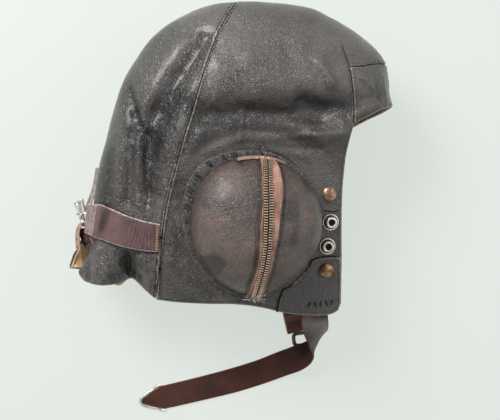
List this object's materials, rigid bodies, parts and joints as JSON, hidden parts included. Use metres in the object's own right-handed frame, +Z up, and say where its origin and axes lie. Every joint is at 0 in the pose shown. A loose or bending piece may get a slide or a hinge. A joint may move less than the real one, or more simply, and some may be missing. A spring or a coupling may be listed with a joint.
{
  "type": "leather flying helmet",
  "caption": "Soft leather flying helmet with padded ear domes, snap studs, neck curtain, nape strap and chin strap, lying on its left side.",
  "frame": {"origin": "on the surface the helmet lies on, under the ear: the middle of the pressed flat face of the left ear dome", "axes": "+Z up from the surface, which is the wearer's right; +X forward to the face opening; +Y to the top of the crown"},
  "size_m": [0.2893, 0.3742, 0.148],
  "materials": {
    "cap_leather": "worn grained leather",
    "dome_leather": "worn smooth leather",
    "lining": "tan woven lining",
    "strap_leather": "maroon brown strap leather",
    "suede": "brown suede",
    "zip_tape": "copper brown tape",
    "zip_teeth": "dark aged brass",
    "copper_caps": "worn copper",
    "steel": "tarnished steel"
  },
  "bodies": {
    "root": {"crown_panel": "cap_leather", "rear_panel": "cap_leather", "brow_band": "cap_leather", "curtain_right": "cap_leather", "curtain_left": "cap_leather", "curtain_lining_right": "lining", "curtain_lining_left": "lining", "cheek_patch_right": "cap_leather", "cheek_patch_left": "cap_leather", "ear_welt_right": "dome_leather", "ear_welt_left": "dome_leather", "ear_dome_right": "dome_leather", "ear_dome_left": "dome_leather", "zip_tape": "zip_tape", "zip_teeth": "zip_teeth", "zip_top_bar": "zip_tape", "cap_upper_right": "copper_caps", "cap_lower_right": "copper_caps", "cap_upper_left": "copper_caps", "cap_lower_left": "copper_caps", "post_upper_right": "steel", "post_lower_right": "steel", "post_upper_left": "steel", "post_lower_left": "steel", "chin_strap": "strap_leather", "chin_strap_tip": "steel", "chin_tab": "suede", "chin_ring": "steel", "rear_strap_right": "strap_leather", "rear_strap_left": "strap_leather", "rear_buckle": "steel", "rear_prong": "steel", "rear_keeper": "strap_leather", "rear_tail": "suede", "rear_tab": "cap_leather"}
  },
  "joints": []
}
